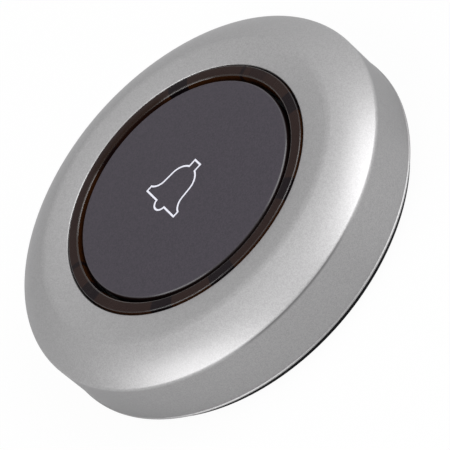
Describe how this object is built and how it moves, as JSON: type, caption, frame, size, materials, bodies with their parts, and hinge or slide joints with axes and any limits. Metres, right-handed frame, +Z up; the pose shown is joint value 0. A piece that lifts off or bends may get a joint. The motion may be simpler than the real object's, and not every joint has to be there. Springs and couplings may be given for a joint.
{
  "type": "waiter call button",
  "caption": "Round table-top call transmitter: a push button with a bell symbol inside a ring of light, in a silver housing on a black base.",
  "frame": {"origin": "on the table, at the centre of the four rubber feet", "axes": "+Z up out of the push button; the bell symbol's top points along +Y"},
  "size_m": [0.07, 0.07, 0.0145],
  "materials": {
    "silver_paint": "fine silver metallic paint on moulded ABS, satin",
    "smoked_plastic": "smoked translucent polycarbonate, polished",
    "frame_plastic": "white moulded ABS that spreads the light",
    "button_plastic": "dark grey ABS, fine satin",
    "symbol_print": "pad-printed pale ink",
    "spring_steel": "drawn wire",
    "board_laminate": "glass-epoxy laminate under green solder resist",
    "black_plastic": "black moulded ABS",
    "plunger_plastic": "moulded nylon",
    "contact_steel": "nickel-plated sheet",
    "emitter_resin": "clear resin over phosphor",
    "chip_black": "moulded epoxy",
    "ceramic_tan": "fired ceramic",
    "copper_wire": "enamelled copper wire",
    "cell_steel": "nickel-plated can",
    "seal_rubber": "silicone rubber",
    "screw_steel": "zinc-plated steel",
    "foot_rubber": "soft rubber"
  },
  "bodies": {
    "case": {"top_housing": "silver_paint", "light_ring": "smoked_plastic", "inner_frame": "frame_plastic", "return_spring": "spring_steel", "circuit_board": "board_laminate", "switch_body": "black_plastic", "switch_cover_plate": "contact_steel", "switch_terminals": "contact_steel", "light_emitters": "emitter_resin", "emitter_resistors": "chip_black", "microcontroller": "chip_black", "radio_chip": "chip_black", "crystal": "contact_steel", "capacitors": "ceramic_tan", "aerial_coil": "copper_wire", "negative_contact": "contact_steel", "positive_contact": "contact_steel", "base_cover": "black_plastic", "base_seal": "seal_rubber", "housing_screws": "screw_steel", "rubber_feet": "foot_rubber"},
    "push_button": {"button_disc": "button_plastic", "bell_symbol": "symbol_print"},
    "plunger": {"switch_plunger": "plunger_plastic"},
    "cap": {"battery_cap": "black_plastic", "cap_seal": "seal_rubber"},
    "cell": {"coin_cell": "cell_steel"}
  },
  "joints": [
    {"name": "button_press", "type": "slide", "parent": "case", "child": "push_button", "axis": [0, 0, -1], "range_m": [0, 0.0005], "stiffness_N_per_m": 400, "springref_m": -0.003, "deforming": ["return_spring"]},
    {"name": "plunger_press", "type": "slide", "parent": "case", "child": "plunger", "axis": [0, 0, -1], "range_m": [0, 0.0005]},
    {"name": "cap_pull", "type": "slide", "parent": "case", "child": "cap", "axis": [0, 0, -1], "range_m": [0, 0.016]},
    {"name": "cell_drop", "type": "slide", "parent": "case", "child": "cell", "axis": [0, 0, -1], "range_m": [0, 0.008]}
  ],
  "couplings": [
    {"joint": "plunger_press", "follows": "button_press", "ratio": 1},
    {"joint": "cell_drop", "follows": "cap_pull", "ratio": 0.5}
  ]
}
